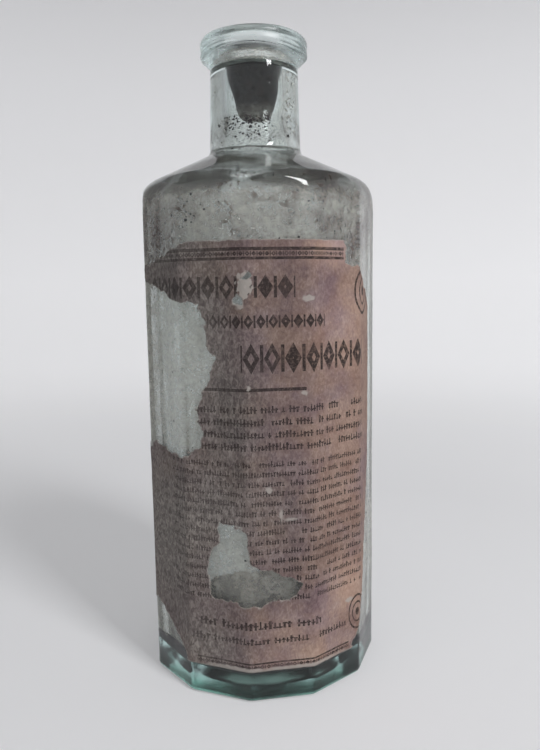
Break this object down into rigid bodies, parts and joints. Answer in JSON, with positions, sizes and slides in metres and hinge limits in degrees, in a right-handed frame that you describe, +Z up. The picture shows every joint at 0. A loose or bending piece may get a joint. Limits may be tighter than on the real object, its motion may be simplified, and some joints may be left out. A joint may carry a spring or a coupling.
{
  "type": "medicine bottle",
  "caption": "Antique many-sided blown glass medicine bottle with an applied collar, a sunk cork that pulls out and a torn paper label.",
  "frame": {"origin": "middle of the base, on the surface that the bottle stands on", "axes": "+Z up along the bottle towards its mouth; -Y points at the vertical edge between two panels near the middle of the label, so the label is on the -Y side; +X is to the right when facing the label"},
  "size_m": [0.0572, 0.0574, 0.152],
  "materials": {
    "aqua_glass": "gloss",
    "collar_glass": "gloss",
    "aged_cork": "matte",
    "label_paper": "matte",
    "dried_residue": "matte"
  },
  "bodies": {
    "bottle": {"bottle_body": "aqua_glass", "applied_collar": "collar_glass", "paper_label": "label_paper", "dried_residue": "dried_residue"},
    "cork": {"cork_stopper": "aged_cork"}
  },
  "joints": [
    {"name": "cork_slide", "type": "slide", "parent": "bottle", "child": "cork", "axis": [0, 0, 1], "range_m": [0, 0.04]}
  ]
}
